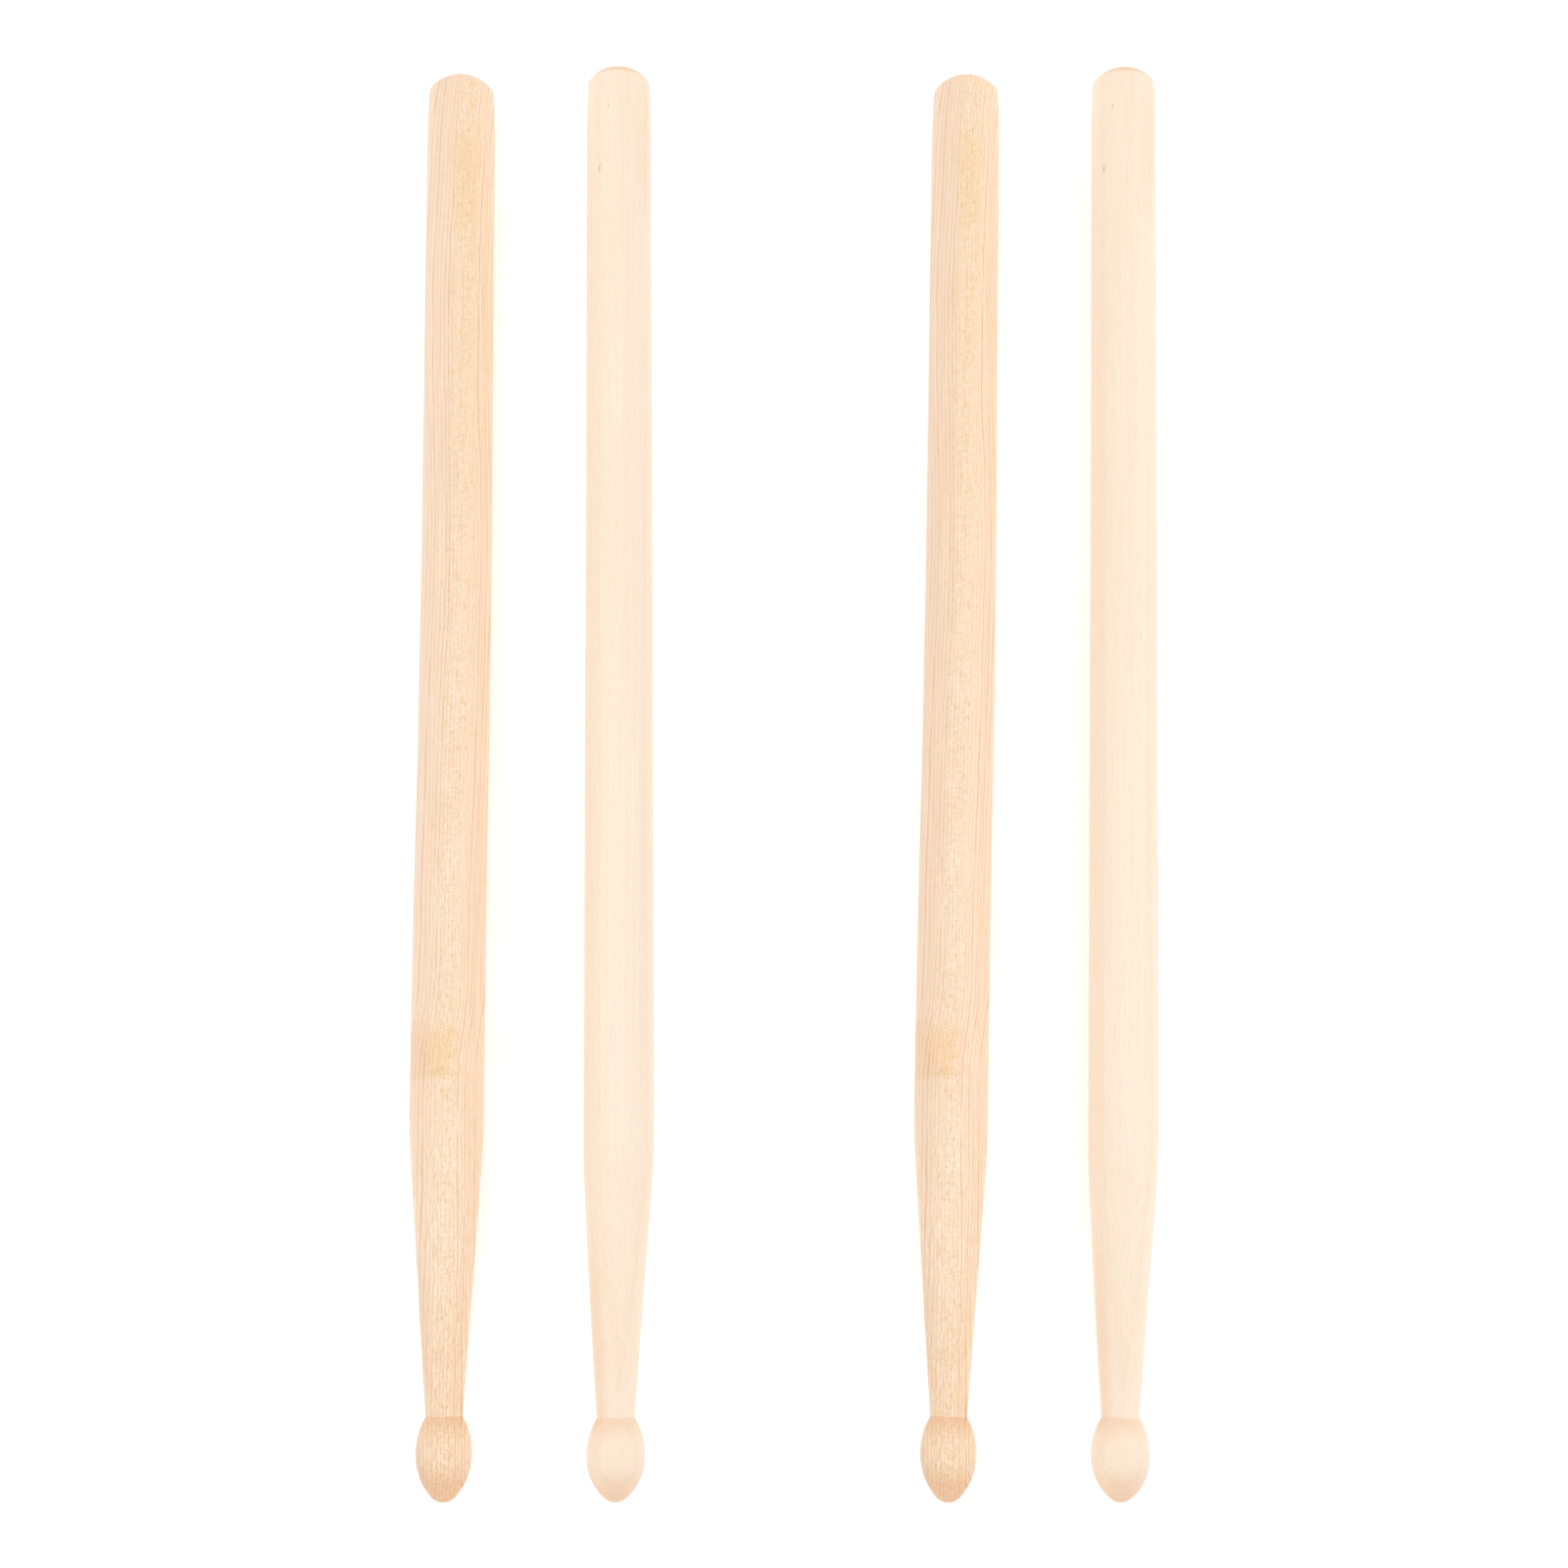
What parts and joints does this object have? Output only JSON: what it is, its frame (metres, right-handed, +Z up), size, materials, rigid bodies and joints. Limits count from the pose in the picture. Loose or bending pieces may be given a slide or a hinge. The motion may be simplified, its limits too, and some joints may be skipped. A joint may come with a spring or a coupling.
{
  "type": "drumstick set",
  "caption": "Loose turned maple drumsticks, each with an olive-shaped bead, narrow neck, long taper, straight shaft and domed butt, laid side by side, for striking drums.",
  "frame": {"origin": "on the flat surface that the sticks lie on, under the middle of their common box", "axes": "+Z up from the surface; +Y from the beads towards the butts; +X from the left pair towards the right pair"},
  "size_m": [0.1582, 0.301, 0.0145],
  "materials": {
    "ringed_maple": "fine-sanded maple under a thin matt lacquer, with close growth-ring lines and ray flecks",
    "plain_maple": "fine-sanded pale maple under a thin matt lacquer, with short pore dashes and a few mineral specks"
  },
  "bodies": {
    "left_pair_stout_stick": {"left_pair_stout_stick": "ringed_maple"},
    "left_pair_slim_stick": {"left_pair_slim_stick": "plain_maple"},
    "right_pair_stout_stick": {"right_pair_stout_stick": "ringed_maple"},
    "right_pair_slim_stick": {"right_pair_slim_stick": "plain_maple"}
  },
  "joints": [
    {"name": "left_pair_stout_stick_lift", "type": "slide", "parent": "left_pair_slim_stick", "child": "left_pair_stout_stick", "axis": [0, 0, 1], "range_m": [0, 0.15]},
    {"name": "right_pair_stout_stick_lift", "type": "slide", "parent": "left_pair_slim_stick", "child": "right_pair_stout_stick", "axis": [0, 0, 1], "range_m": [0, 0.15]},
    {"name": "right_pair_slim_stick_lift", "type": "slide", "parent": "left_pair_slim_stick", "child": "right_pair_slim_stick", "axis": [0, 0, 1], "range_m": [0, 0.15]}
  ]
}
